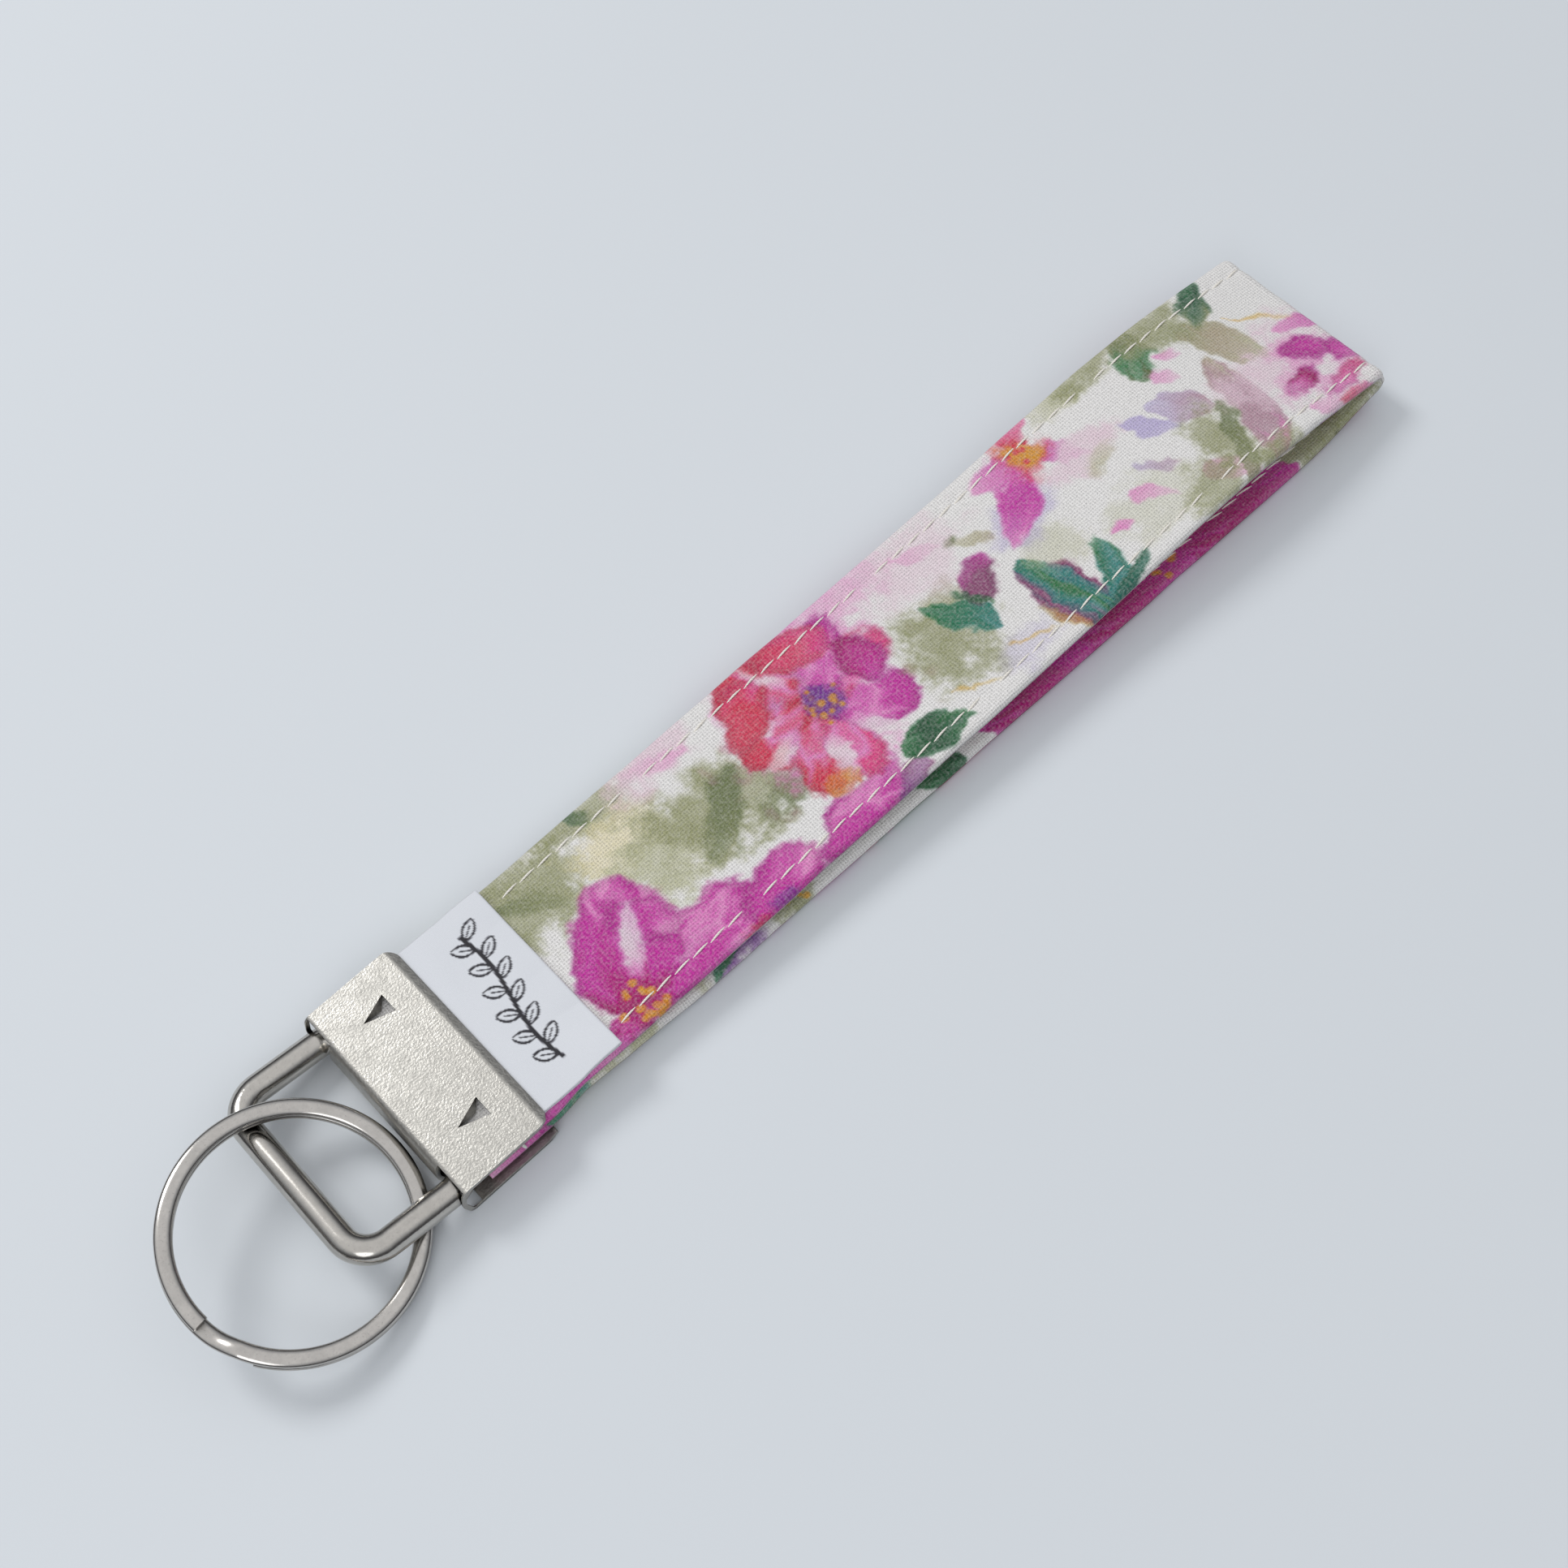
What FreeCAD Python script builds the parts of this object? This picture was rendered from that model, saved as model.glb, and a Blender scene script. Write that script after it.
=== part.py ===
"""Wristlet keychain: a folded cotton strap in a steel clamp, with a wire bail and a split key ring.

Millimetres. The origin is the centre of the clamp's flat underside. +X runs along the strap from the clamp
to its fold, +Y across the strap and +Z up. The keychain lies flat, with its wrist loop closed.
"""
import FreeCAD, Part
import math
import os

Vec = FreeCAD.Vector

# ---- driving dimensions -------------------------------------------------------------------------------
STRAP_WIDTH = 23.6          # finished strap, for 1 inch hardware
PLY = 1.4                   # one finished strap ply: printed cotton folded round its interfacing
FABRIC = 0.35               # cotton cover's thickness
FIT = 0.04                  # gap left between pieces that only touch
STRAP_YAW = -0.535          # degrees that the strap lies askew in the clamp
STRAP_SHIFT = 0.15          # and how far off the clamp's centre it was set

CLAMP_WIDTH = 25.4          # 1 inch
CLAMP_HEIGHT = 5.25
SHEET = 0.5                 # clamp's sheet thickness
MOUTH = 5.65                # X of the clamp's mouth
SPINE = -6.2                # X of the clamp's bulging spine, outside
SPINE_CORNER = -5.7         # X of the spine where it meets the jaws

WIRE = 3.0                  # bail wire diameter
BAIL_LENGTH = 13.0          # between the centre lines of its inner and outer bars
BAIL_HALF_WIDTH = 11.0      # centre of the bail to a leg's centre line
BAIL_INNER_BEND = 2.3       # centre line radii of its corners
BAIL_OUTER_BEND = 3.3
BAIL_HINGE = (-3.8, 0.0, 2.45)    # middle of the inner bar, in the clamp's barrel
BAIL_PITCH = 9.0            # degrees that the outer bar is propped up by the key ring
BAIL_ROLL = 2.5             # degrees that the bail leans in its loose barrel

RING_RADIUS = 12.2          # coil's centre line
RING_BAND = 1.8             # radial width of the ring's wire
COIL = 1.0                  # height of one coil
RING_EDGE = 0.45            # how far the wire's corners are rounded
RING_CENTRE = (-19.4, -3.8, 4.86)
RING_NORMAL = (0.22, -0.23, 1.0)

LABEL_END = 15.8            # X of the label's folded edge
LABEL_TAPE = 0.18           # ribbon thickness

STITCH_INSET = 2.3          # topstitching from the strap's edge
THREAD = 0.3                # thread width
THREAD_HEIGHT = 0.12        # how far the pulled-in thread stands out of the cotton
BASTING_X = 2.2             # basting thread's place in the clamp's open side

# Bends of the strap, where one length of it turns against the next (X, in the strap's own line)
MOUTH_BEND = 6.4
NEAR_BEND = 17.0
SIDE_LENGTH = 36.0
MIDDLE_LENGTH = 32.0
UPPER_MID_BEND = NEAR_BEND + SIDE_LENGTH
UPPER_FAR_BEND = UPPER_MID_BEND + MIDDLE_LENGTH
FOLD_BEND = UPPER_FAR_BEND + SIDE_LENGTH
CUT_GAP = 0.1               # between two lengths of strap, at a bend that opens
MOUTH_GAP = 1.2             # at the mouth, where the strap bends both ways
FOLD_GAP = 1.8              # at the fold's upper bend, which closes as the loop opens

# Centre lines of the strap's plies, (X, Z), and the radii of the soft bends between their stretches. The lines run
# on past both ends of a ply, which is then cut to length.
STRAP_START = -2.1
CLAMPED_UPPER = 3.36
CLAMPED_LOWER = 1.88
RESTING = PLY / 2 + THREAD_HEIGHT + FIT
FOLD_CORNER = (132.6, 3.89)  # where the fold's two legs would meet if it were sharp
FOLD_RADIUS = 1.0
UPPER_LINE = [(STRAP_START - 2, CLAMPED_UPPER), (9, CLAMPED_UPPER), (18, 3.12), (62, 4.95), (82, 5.45),
              (110, 7.56), FOLD_CORNER]
UPPER_BENDS = [60, 60, 150, 150, 90]
LOWER_LINE = [(STRAP_START - 2, CLAMPED_LOWER), (7.5, CLAMPED_LOWER), (24, RESTING), (119.7, RESTING),
              FOLD_CORNER]
LOWER_BENDS = [60, 60, 10]


# ---- helpers ------------------------------------------------------------------------------------------
def path_with_bends(points, radii):
    """A planar wire through points, its inner corners rounded to radii."""
    edges = []
    start = points[0]
    for corner, after, radius in zip(points[1:-1], points[2:], radii):
        towards = (start - corner).normalize()
        away = (after - corner).normalize()
        half = towards.getAngle(away) / 2
        reach = radius / math.tan(half)
        arc_start = corner + towards * reach
        arc_end = corner + away * reach
        middle = corner + (towards + away).normalize() * (radius / math.sin(half) - radius)
        edges.append(Part.makeLine(start, arc_start))
        edges.append(Part.Arc(arc_start, middle, arc_end).toShape())
        start = arc_end
    edges.append(Part.makeLine(start, points[-1]))
    return Part.Wire(edges)


def centre_line(points, bends):
    return path_with_bends([Vec(x, 0, z) for x, z in points], bends)


def band(line, thickness, width):
    """A strip of the given thickness and width that follows a centre line in the XZ plane."""
    strip = Part.Face(line.makeOffset2D(thickness / 2)).extrude(Vec(0, width, 0))
    strip.translate(Vec(0, -width / 2, 0))
    return strip


def slab(x0, x1):
    """Everything between two X positions."""
    reach = 60
    box = Part.makeBox(x1 - x0, 2 * reach, 2 * reach)
    box.translate(Vec(x0, -reach, -reach))
    return box


def lay_askew(shape):
    """Sets a strap piece at the strap's own angle in the clamp."""
    placed = shape.copy()
    placed.rotate(Vec(0, 0, 0), Vec(0, 0, 1), STRAP_YAW)
    placed.translate(Vec(0, STRAP_SHIFT, 0))
    return placed


# ---- clamp --------------------------------------------------------------------------------------------
def clamp_shell():
    mid = SHEET / 2
    top = CLAMP_HEIGHT - mid
    lip_x = MOUTH - 0.95
    bend = 0.75
    profile = [Vec(MOUTH - mid, 0, 0.85), Vec(MOUTH - 1.3, 0, mid), Vec(SPINE_CORNER + mid, 0, mid),
               Vec(SPINE + mid, 0, CLAMP_HEIGHT / 2), Vec(SPINE_CORNER + mid, 0, top), Vec(lip_x, 0, top),
               Vec(MOUTH - mid, 0, top - 0.35)]
    path = path_with_bends(profile, [bend, bend, 2.5, bend, bend])
    shell = Part.Face(path.makeOffset2D(mid)).extrude(Vec(0, CLAMP_WIDTH, 0))
    shell.translate(Vec(0, -CLAMP_WIDTH / 2, 0))
    for side in (-1, 1):
        shell = shell.cut(leg_window(side))
        shell = shell.cut(lip_corner(side))
    for y in PRONG_Y:
        shell = shell.cut(prong_hole(y))
        shell = shell.fuse(prong(y))
    return shell


def leg_window(side):
    """The window in the spine that a bail leg swings in."""
    inner = 8.6
    outer = 12.55
    floor, ceiling = -0.5, 5.1
    depth = 2.5
    window = Part.makeBox(depth, outer - inner, ceiling - floor)
    window.translate(Vec(SPINE - 0.5, inner if side > 0 else -outer, floor))
    return window


def lip_corner(side):
    """Rounds the top lip's corner in plan."""
    radius = 1.5
    low = CLAMP_HEIGHT / 2
    corner = Part.makeBox(radius, radius, CLAMP_HEIGHT)
    y = CLAMP_WIDTH / 2 - radius
    corner.translate(Vec(MOUTH - radius, y if side > 0 else -y - radius, low))
    return corner.cut(Part.makeCylinder(radius, CLAMP_HEIGHT, Vec(MOUTH - radius, side * y, low)))


# Each prong is a triangle pierced in the top jaw, its point towards the spine, and pressed down on the strap
PRONG_Y = (8.0, -7.1)
PRONG_POINT = -1.6
PRONG_BASE = 1.7
PRONG_HALF = 1.2


def prong_hole(y):
    corners = [Vec(PRONG_POINT, y, 0), Vec(PRONG_BASE, y - PRONG_HALF, 0), Vec(PRONG_BASE, y + PRONG_HALF, 0)]
    outline = Part.makePolygon(corners + corners[:1])
    hole = Part.Face(outline).extrude(Vec(0, 0, CLAMP_HEIGHT))
    hole.translate(Vec(0, 0, CLAMP_HEIGHT / 2))
    return hole


def prong(y):
    """The pierced metal, folded down along one side of its hole towards the strap."""
    thin = 0.3
    depth = 1.1
    root = CLAMP_HEIGHT - SHEET / 2
    side = y + PRONG_HALF
    corners = [Vec(PRONG_POINT, y + 0.05, root), Vec(PRONG_BASE, side, root),
               Vec((PRONG_POINT + PRONG_BASE) / 2 + 0.6, side - 0.9, root - depth + 0.35)]
    return Part.Face(Part.makePolygon(corners + corners[:1])).extrude(Vec(-thin / 2, thin, 0))


# ---- bail ---------------------------------------------------------------------------------------------
def bail_frame():
    """Placement of the bail's own plane: its X runs from the inner bar to the outer bar, its Y along the bars."""
    along_bar = Vec(0, math.cos(math.radians(BAIL_ROLL)), -math.sin(math.radians(BAIL_ROLL)))
    pitch = math.radians(BAIL_PITCH)
    outwards = Vec(-math.cos(pitch), 0, math.sin(pitch))
    outwards = (outwards - along_bar * outwards.dot(along_bar)).normalize()
    return FreeCAD.Placement(Vec(*BAIL_HINGE), FreeCAD.Rotation(outwards, along_bar, Vec(0, 0, 1), "XYZ"))


def bail():
    half = BAIL_HALF_WIDTH
    corners = [Vec(BAIL_LENGTH, 0, 0), Vec(BAIL_LENGTH, half, 0), Vec(0, half, 0), Vec(0, -half, 0),
               Vec(BAIL_LENGTH, -half, 0), Vec(BAIL_LENGTH, 0, 0)]
    radii = [BAIL_OUTER_BEND, BAIL_INNER_BEND, BAIL_INNER_BEND, BAIL_OUTER_BEND]
    path = path_with_bends(corners, radii)
    section = Part.Wire(Part.makeCircle(WIRE / 2, corners[0], Vec(0, 1, 0)))
    wire = path.makePipeShell([section], True, False)
    wire.Placement = bail_frame()
    return wire


# ---- split ring ---------------------------------------------------------------------------------------
RING_TOP_END = 187.5        # where the upper coil ends: degrees round the ring, from +X in its own plane
JOGGLE = 18.0               # degrees in which the wire steps from the upper coil to the lower one
UPPER_TURN = 356.0          # degrees of wire in the upper coil, with the step
LOWER_TURN = 336.0


def ring_height(degrees):
    """Height of the wire above the ring's middle plane, degrees along the wire from its upper end."""
    upper = UPPER_TURN - JOGGLE
    step = min(max((degrees - upper) / JOGGLE, 0.0), 1.0)
    smooth = step * step * (3 - 2 * step)
    return (0.5 - smooth) * (COIL + FIT / 2)


def split_ring():
    total = UPPER_TURN + LOWER_TURN
    steps = 116
    points = []
    for k in range(steps + 1):
        degrees = total * k / steps
        angle = math.radians(RING_TOP_END - degrees)
        points.append(Vec(RING_RADIUS * math.cos(angle), RING_RADIUS * math.sin(angle), ring_height(degrees)))
    line = Part.BSplineCurve()
    line.interpolate(points)
    path = Part.Wire(line.toShape())
    sweep = Part.BRepOffsetAPI.MakePipeShell(path)
    sweep.setBiNormalMode(Vec(0, 0, 1))
    sweep.add(ring_section(points[0]), False, False)
    sweep.build()
    sweep.makeSolid()
    ring = sweep.shape()
    normal = Vec(*RING_NORMAL).normalize()
    ring.Placement = FreeCAD.Placement(Vec(*RING_CENTRE), FreeCAD.Rotation(Vec(0, 0, 1), normal))
    return ring


def ring_section(at):
    """A rounded rectangle across the wire, in the plane through the ring's axis."""
    outwards = Vec(at.x, at.y, 0).normalize()
    half_band = RING_BAND / 2
    half_coil = COIL / 2
    corners = [at + outwards * u + Vec(0, 0, v) for u, v in
               ((0, half_coil), (half_band, half_coil), (half_band, -half_coil), (-half_band, -half_coil),
                (-half_band, half_coil), (0, half_coil))]
    return path_with_bends(corners, [RING_EDGE] * 4)


# ---- strap --------------------------------------------------------------------------------------------
def strap_length(name, line, x0, x1):
    """One length of one ply: its cotton cover and the interfacing inside it."""
    core_thickness = PLY - 2 * FABRIC
    core_width = STRAP_WIDTH - 4 * FABRIC
    cut = slab(x0, x1)
    ply = band(line, PLY, STRAP_WIDTH).common(cut)
    pocket = band(line, core_thickness, core_width)
    core = band(line, core_thickness - 2 * FIT, core_width - 2 * FIT).common(cut)
    return {name + "_cover": ply.cut(pocket), name + "_core": core}


def thread_rows(line, x0, x1):
    """Two rows of topstitching, whose threads show on both faces of the ply."""
    row = STRAP_WIDTH / 2 - STITCH_INSET
    inside = PLY + 2 * FIT
    threads = band(line, inside + 2 * THREAD_HEIGHT, THREAD).cut(band(line, inside, 2 * THREAD))
    threads = threads.common(slab(x0, x1))
    rows = []
    for side in (-1, 1):
        placed = threads.copy()
        placed.translate(Vec(0, side * row, 0))
        rows += placed.Solids
    return Part.makeCompound(rows)


def strap():
    near, mid, far, fold = NEAR_BEND, UPPER_MID_BEND, UPPER_FAR_BEND, FOLD_BEND
    half = CUT_GAP / 2
    nodes = {}
    lines = {"upper": centre_line(UPPER_LINE, UPPER_BENDS), "lower": centre_line(LOWER_LINE, LOWER_BENDS)}
    for ply, line in lines.items():
        fold_gap = FOLD_GAP / 2 if ply == "upper" else half
        nodes.update(strap_length(ply + "_end", line, STRAP_START, MOUTH_BEND - MOUTH_GAP / 2))
        nodes.update(strap_length(ply + "_base", line, MOUTH_BEND + MOUTH_GAP / 2, near - half))
        loop = [("near", near + half, mid - half), ("middle", mid + half, far - half),
                ("far", far + half, fold - fold_gap)]
        for part, x0, x1 in loop:
            nodes.update(strap_length(f"{ply}_{part}", line, x0, x1))
            nodes[f"{ply}_{part}_stitches"] = thread_rows(line, x0, x1)
    nodes.update(fold_end())
    return nodes


def fold_end():
    """The soft fold at the strap's end, cut back where the upper ply turns against it."""
    line = centre_line([UPPER_LINE[-2], FOLD_CORNER, LOWER_LINE[-2]], [FOLD_RADIUS])
    start = FOLD_BEND + CUT_GAP / 2
    end = FOLD_BEND + 20
    nodes = strap_length("fold", line, start, end)
    nodes["fold_stitches"] = thread_rows(line, start, end)
    upper_room = slab(FOLD_BEND, FOLD_BEND + FOLD_GAP / 2)
    lift = upper_room.BoundBox.ZMax + FOLD_CORNER[1]
    upper_room.translate(Vec(0, 0, lift))
    return {name: shape.cut(upper_room) for name, shape in nodes.items()}


# ---- label --------------------------------------------------------------------------------------------
def label():
    """A ribbon folded in two on the strap, its raw edges under the clamp's lip and its fold towards the loop."""
    thickness = 2 * LABEL_TAPE
    lift = (PLY + thickness) / 2 + FIT
    line = centre_line([(x, z + lift) for x, z in UPPER_LINE], UPPER_BENDS)
    return band(line, thickness, STRAP_WIDTH).common(slab(MOUTH_BEND + MOUTH_GAP / 2, LABEL_END))


def basting_thread():
    """The loop of white thread round the strap's edge in the clamp's open side."""
    radius = THREAD / 2
    low = CLAMPED_LOWER - PLY / 2
    high = CLAMPED_UPPER + PLY / 2
    return Part.makeCylinder(radius, high - low, Vec(BASTING_X, -STRAP_WIDTH / 2 - FIT - radius, low))


def main():
    os.makedirs("parts", exist_ok=True)
    nodes = {"clamp_shell": clamp_shell(), "bail": bail(), "split_ring": split_ring()}
    soft = strap()
    soft["label"] = label()
    soft["basting_thread"] = basting_thread()
    nodes.update({name: lay_askew(shape) for name, shape in soft.items()})
    for name, shape in nodes.items():
        shape.exportStep(f"parts/{name}.step")
        print(name, "solids", len(shape.Solids), "valid", shape.isValid())


main()
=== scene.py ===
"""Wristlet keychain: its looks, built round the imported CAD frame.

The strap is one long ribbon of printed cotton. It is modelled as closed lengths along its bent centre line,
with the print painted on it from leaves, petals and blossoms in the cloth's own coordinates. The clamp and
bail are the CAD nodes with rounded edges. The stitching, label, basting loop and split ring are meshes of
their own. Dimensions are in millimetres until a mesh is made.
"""
import math

import bpy
import numpy as np
from mathutils import Matrix, Vector


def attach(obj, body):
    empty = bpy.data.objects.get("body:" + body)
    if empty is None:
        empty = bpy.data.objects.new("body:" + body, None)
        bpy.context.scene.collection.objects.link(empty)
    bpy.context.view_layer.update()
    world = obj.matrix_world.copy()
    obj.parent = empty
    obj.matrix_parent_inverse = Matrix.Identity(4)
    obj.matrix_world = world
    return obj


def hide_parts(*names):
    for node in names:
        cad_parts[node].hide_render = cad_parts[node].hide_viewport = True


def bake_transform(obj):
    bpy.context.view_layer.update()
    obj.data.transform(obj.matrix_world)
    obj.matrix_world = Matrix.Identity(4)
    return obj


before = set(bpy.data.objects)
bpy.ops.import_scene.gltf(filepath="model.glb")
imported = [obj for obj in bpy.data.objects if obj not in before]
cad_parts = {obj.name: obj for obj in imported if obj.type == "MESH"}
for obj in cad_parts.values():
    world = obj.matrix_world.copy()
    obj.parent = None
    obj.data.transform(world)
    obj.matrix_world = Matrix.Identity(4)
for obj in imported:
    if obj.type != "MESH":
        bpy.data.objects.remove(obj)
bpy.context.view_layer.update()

MM = 0.001

# ---- strap dimensions, as in the CAD source ----
STRAP_YAW = math.radians(-0.535)
STRAP_SHIFT = 0.15
HALF_WIDTH = 11.8
HALF_PLY = 0.7
RESTING = 0.86              # height of the lower ply's middle where it lies on the table
FOLD_CORNER = (132.6, 3.89)
STRAP_CORNERS = [(-2.1, 3.36), (9, 3.36), (18, 3.12), (62, 4.95), (82, 5.45), (110, 7.56), FOLD_CORNER,
                 (119.7, RESTING), (24, RESTING), (7.5, 1.88), (-2.1, 1.88)]
STRAP_BENDS = [60, 60, 150, 150, 90, 1.0, 10, 60, 60]
FACE_END = 131.0            # the painted upper face, in the cloth's own coordinates
FACE_HALF_WIDTH = 12.2
SWELL = 0.55                # how far the strap's near edge spreads inside the clamp
CELL = 0.22                 # mesh size of the cloth
STITCH_ROW = 9.5            # topstitching, from the strap's middle
STITCH_PITCH = 2.42
EDGE_STEPS = 8              # mesh steps round the ply's rounded edge
EDGE_ARC = math.pi * HALF_PLY

# ---- split ring, as in the CAD source ----
RING_RADIUS = 12.2
RING_BAND = 1.8
COIL = 1.0
COIL_PITCH = 1.02
RING_CENTRE = (-19.4, -3.8, 4.86)
RING_NORMAL = (0.22, -0.23, 1.0)
RING_TOP_END = 187.5
JOGGLE = 18.0
UPPER_TURN = 356.0
LOWER_TURN = 336.0

# ---- colours, sRGB ----
CREAM = (0.95, 0.94, 0.93)
PALE_YELLOW = (0.93, 0.88, 0.70)
PALE_OLIVE = (0.76, 0.76, 0.62)
OLIVE = (0.60, 0.61, 0.44)
DARK_OLIVE = (0.40, 0.45, 0.28)
GREEN = (0.20, 0.47, 0.27)
DARK_GREEN = (0.13, 0.33, 0.21)
TEAL = (0.18, 0.50, 0.48)
MAGENTA = (0.80, 0.20, 0.64)
DEEP_MAGENTA = (0.68, 0.05, 0.42)
PINK = (0.93, 0.56, 0.80)
PALE_PINK = (0.94, 0.83, 0.88)
CORAL = (0.86, 0.22, 0.34)
ROSE = (0.91, 0.30, 0.55)
PURPLE = (0.46, 0.20, 0.58)
MAUVE = (0.55, 0.27, 0.44)
DUSTY_MAUVE = (0.72, 0.55, 0.62)
LAVENDER = (0.76, 0.71, 0.87)
GOLD = (0.88, 0.63, 0.18)
TAN = (0.70, 0.64, 0.53)
INK = (0.07, 0.06, 0.10)
RIBBON_WHITE = (0.87, 0.88, 0.90)


def linear(colour):
    """An sRGB colour as linear light."""
    channels = np.asarray(colour, float)
    return np.where(channels <= 0.04045, channels / 12.92, ((channels + 0.055) / 1.055) ** 2.4)


def smooth(values):
    """A soft step: 0 up to 0, and 1 from 1 on."""
    t = np.clip(values, 0.0, 1.0)
    return t * t * (3 - 2 * t)


def noise(x, y, seed):
    """Smooth random values from 0 to 1, one cell per unit."""
    size = 64
    grid = np.random.RandomState(seed).rand(size, size)
    xi = np.floor(x).astype(int)
    yi = np.floor(y).astype(int)
    fx = smooth(x - xi)
    fy = smooth(y - yi)
    x0, x1 = xi % size, (xi + 1) % size
    y0, y1 = yi % size, (yi + 1) % size
    low = grid[x0, y0] * (1 - fx) + grid[x1, y0] * fx
    high = grid[x0, y1] * (1 - fx) + grid[x1, y1] * fx
    return low * (1 - fy) + high * fy


# ---- the print ----
class Print:
    """Watercolour paint on cloth. along and across are the cloth's own coordinates in millimetres."""

    def __init__(self, along, across, ground=CREAM):
        self.along = along
        self.across = across
        bleed = 1.5
        fine = 0.55
        self.x = along + bleed * (noise(along / 2.4, across / 2.4, 1) - 0.5) \
            + fine * (noise(along / 0.7, across / 0.7, 2) - 0.5)
        self.y = across + bleed * (noise(along / 2.4, across / 2.4, 3) - 0.5) \
            + fine * (noise(along / 0.7, across / 0.7, 4) - 0.5)
        self.grain = noise(along / 0.4, across / 0.4, 6)
        self.pigment = 0.72 + 0.28 * noise(along / 1.3, across / 1.3, 5) + 0.12 * self.grain
        self.colour = np.tile(np.array(ground, float), (len(along), 1))

    def lay(self, colour, mask, strength=1.0):
        """Lays colour over what is there, where mask is not zero."""
        cover = np.clip(self.dry(mask) * strength * self.pigment, 0, 1)[:, None]
        self.colour = self.colour * (1 - cover) + np.asarray(colour, float) * cover

    def lay_run(self, colours, where, cover, shade=1.0):
        """Lays a run of colours, from the first at where = 0 to the last at where = 1."""
        stops = np.linspace(0, 1, len(colours))
        run = np.stack([np.interp(where, stops, [c[k] for c in colours]) for k in range(3)], 1)
        cover = np.clip(cover, 0, 1)[:, None]
        self.colour = self.colour * (1 - cover) + run * shade * cover

    def turned(self, centre, radii, angle):
        """Coordinates on a spot's own two axes, which reach 1 at its rim."""
        turn = math.radians(angle)
        dx = self.x - centre[0]
        dy = self.y - centre[1]
        u = (dx * math.cos(turn) + dy * math.sin(turn)) / radii[0]
        v = (dy * math.cos(turn) - dx * math.sin(turn)) / radii[1]
        return u, v

    def dry(self, mask):
        """Thin paint only takes on the tops of the cloth's grain."""
        return np.clip(mask + 3.2 * (self.grain - 0.5) * mask * (1 - mask), 0, 1)

    def wash(self, centre, radii, colour, strength=0.75, angle=0.0):
        """A soft cloud of colour."""
        u, v = self.turned(centre, radii, angle)
        ragged = 0.7 * (noise(self.along / 1.8, self.across / 1.8, 7) - 0.5)
        self.lay(colour, smooth(1.2 * (1.3 - np.hypot(u, v) + ragged)), strength)

    def leaf(self, root, tip, width, colours, strength=0.95, soft=0.6, stripes=0.0):
        """A pointed shape. colours runs from its root to its tip, or across it when it has stripes."""
        root = np.array(root, float)
        axis = np.array(tip, float) - root
        length = np.hypot(*axis)
        ux, uy = axis / length
        dx = self.x - root[0]
        dy = self.y - root[1]
        t = (dx * ux + dy * uy) / length
        q = dy * ux - dx * uy
        inside = np.clip(t, 0, 1)
        half = width / 2 * np.sin(math.pi * inside ** 0.85) ** 0.75
        mask = smooth((half - np.abs(q)) / soft + 0.4) * smooth((t + 0.04) * 12) * smooth((1.04 - t) * 12)
        if not np.any(mask > 0):
            return
        streak = noise(q * 2.2 + 40, t * 2.5 + 7, 8)
        where = 0.5 + q / width + stripes * (streak - 0.5) if stripes else t + 0.45 * (streak - 0.5)
        cover = self.dry(mask) * strength * (0.75 + 0.35 * streak) * (0.8 + 0.25 * self.pigment)
        self.lay_run(colours, where, cover)

    def petal(self, centre, radii, angle, colours, strength=0.95, soft=0.9):
        """A round shape whose colours run along its own axis, streaked and a little darker round its rim."""
        u, v = self.turned(centre, radii, angle)
        inside = 1 - np.hypot(u, v)
        mask = smooth(inside * min(radii) / soft + 0.5)
        if not np.any(mask > 0):
            return
        streak = noise(v * radii[1] * 1.1 + 30, u * radii[0] * 0.28 + 11, 9)
        where = 0.5 + 0.5 * u + 0.7 * (streak - 0.5)
        rim = smooth(1 - inside * min(radii) / 1.2)[:, None]
        cover = self.dry(mask) * strength * (0.85 + 0.2 * self.pigment)
        self.lay_run(colours, where, cover, 1 - 0.12 * rim)

    def dots(self, centre, reach, radius, colour, count, seed):
        """Small dabs scattered round a centre, such as stamens."""
        random = np.random.RandomState(seed)
        for _ in range(count):
            turn = random.uniform(0, 2 * math.pi)
            far = reach * math.sqrt(random.rand())
            size = radius * random.uniform(0.7, 1.3)
            x = centre[0] + far * math.cos(turn)
            y = centre[1] + far * math.sin(turn)
            away = np.hypot(self.along - x, self.across - y)
            self.lay(colour, smooth((size - away) / 0.25 + 0.5), 0.9)

    def blossom(self, centre, radius, colours, seed, petals=7):
        """An open flower seen from above: ragged petals streaked with white round a dark heart."""
        random = np.random.RandomState(seed)
        start = random.uniform(0, 2 * math.pi)
        self.wash(centre, (radius * 0.95, radius * 0.95), PINK, 0.8)
        for k in range(petals):
            turn = start + 2 * math.pi * k / petals + random.uniform(-0.2, 0.2)
            out = radius * random.uniform(0.52, 0.64)
            middle = (centre[0] + out * math.cos(turn), centre[1] + out * math.sin(turn))
            tone = colours[0] if math.cos(turn) < random.uniform(-0.3, 0.5) else colours[1 + k % 2]
            radii = (radius * random.uniform(0.42, 0.52), radius * random.uniform(0.28, 0.36))
            self.petal(middle, radii, math.degrees(turn), [tone, PINK, tone, tone])
        for k in range(petals):
            side = start + 2 * math.pi * (k + 0.5) / petals + random.uniform(-0.15, 0.15)
            inner = (centre[0] + 0.35 * radius * math.cos(side), centre[1] + 0.35 * radius * math.sin(side))
            outer = (centre[0] + 0.95 * radius * math.cos(side), centre[1] + 0.95 * radius * math.sin(side))
            self.leaf(inner, outer, radius * 0.2, [PINK, CREAM, PALE_PINK], 0.8, soft=0.9)
        self.wash(centre, (radius * 0.2, radius * 0.17), PURPLE, 0.8)
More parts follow.
